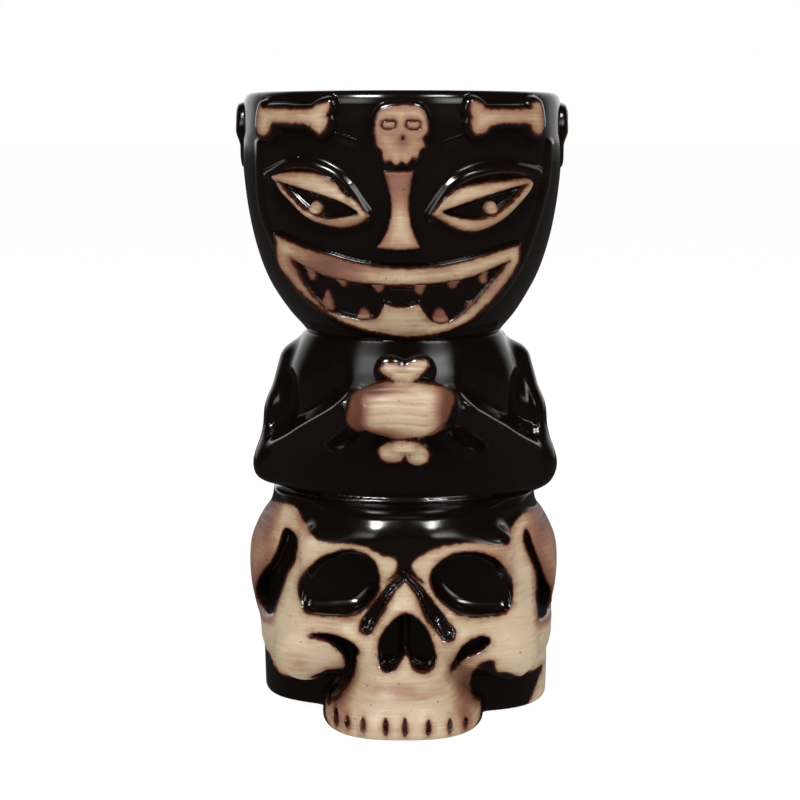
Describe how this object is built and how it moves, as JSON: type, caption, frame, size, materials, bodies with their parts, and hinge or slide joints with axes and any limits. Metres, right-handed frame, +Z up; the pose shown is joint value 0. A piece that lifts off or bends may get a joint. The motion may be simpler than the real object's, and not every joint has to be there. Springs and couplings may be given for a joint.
{
  "type": "tiki mug",
  "caption": "Tall glazed tiki mug: grinning head bowl on a crouched figure holding a bone, sitting on a skull, with skull and bone sprigs round the rim.",
  "frame": {"origin": "on the table under the axis of the head bowl, in the plane of the skull's flat foot", "axes": "+Z up towards the lip, the figure and the skull face -Y, +X to the viewer's right"},
  "size_m": [0.0996, 0.1129, 0.18],
  "materials": {
    "black_glaze": "gloss black glaze, red-brown where it thins",
    "wiped_bone": "satin bone-coloured clay with a wiped brown stain"
  },
  "bodies": {
    "root": {"head_bowl": "black_glaze", "held_bone": "wiped_bone", "left_arm": "black_glaze", "left_brow": "black_glaze", "left_eye": "wiped_bone", "left_hand": "wiped_bone", "left_pupil": "wiped_bone", "lips": "wiped_bone", "lower_teeth": "wiped_bone", "nose": "wiped_bone", "right_arm": "black_glaze", "right_brow": "black_glaze", "right_eye": "wiped_bone", "right_hand": "wiped_bone", "right_pupil": "wiped_bone", "rim_bone_back_left": "wiped_bone", "rim_bone_back_right": "wiped_bone", "rim_bone_front_left": "wiped_bone", "rim_bone_front_right": "wiped_bone", "rim_skull_back": "wiped_bone", "rim_skull_front": "wiped_bone", "rim_skull_left": "wiped_bone", "rim_skull_right": "wiped_bone", "skull_base": "wiped_bone", "torso": "black_glaze", "upper_teeth": "wiped_bone"}
  },
  "joints": []
}
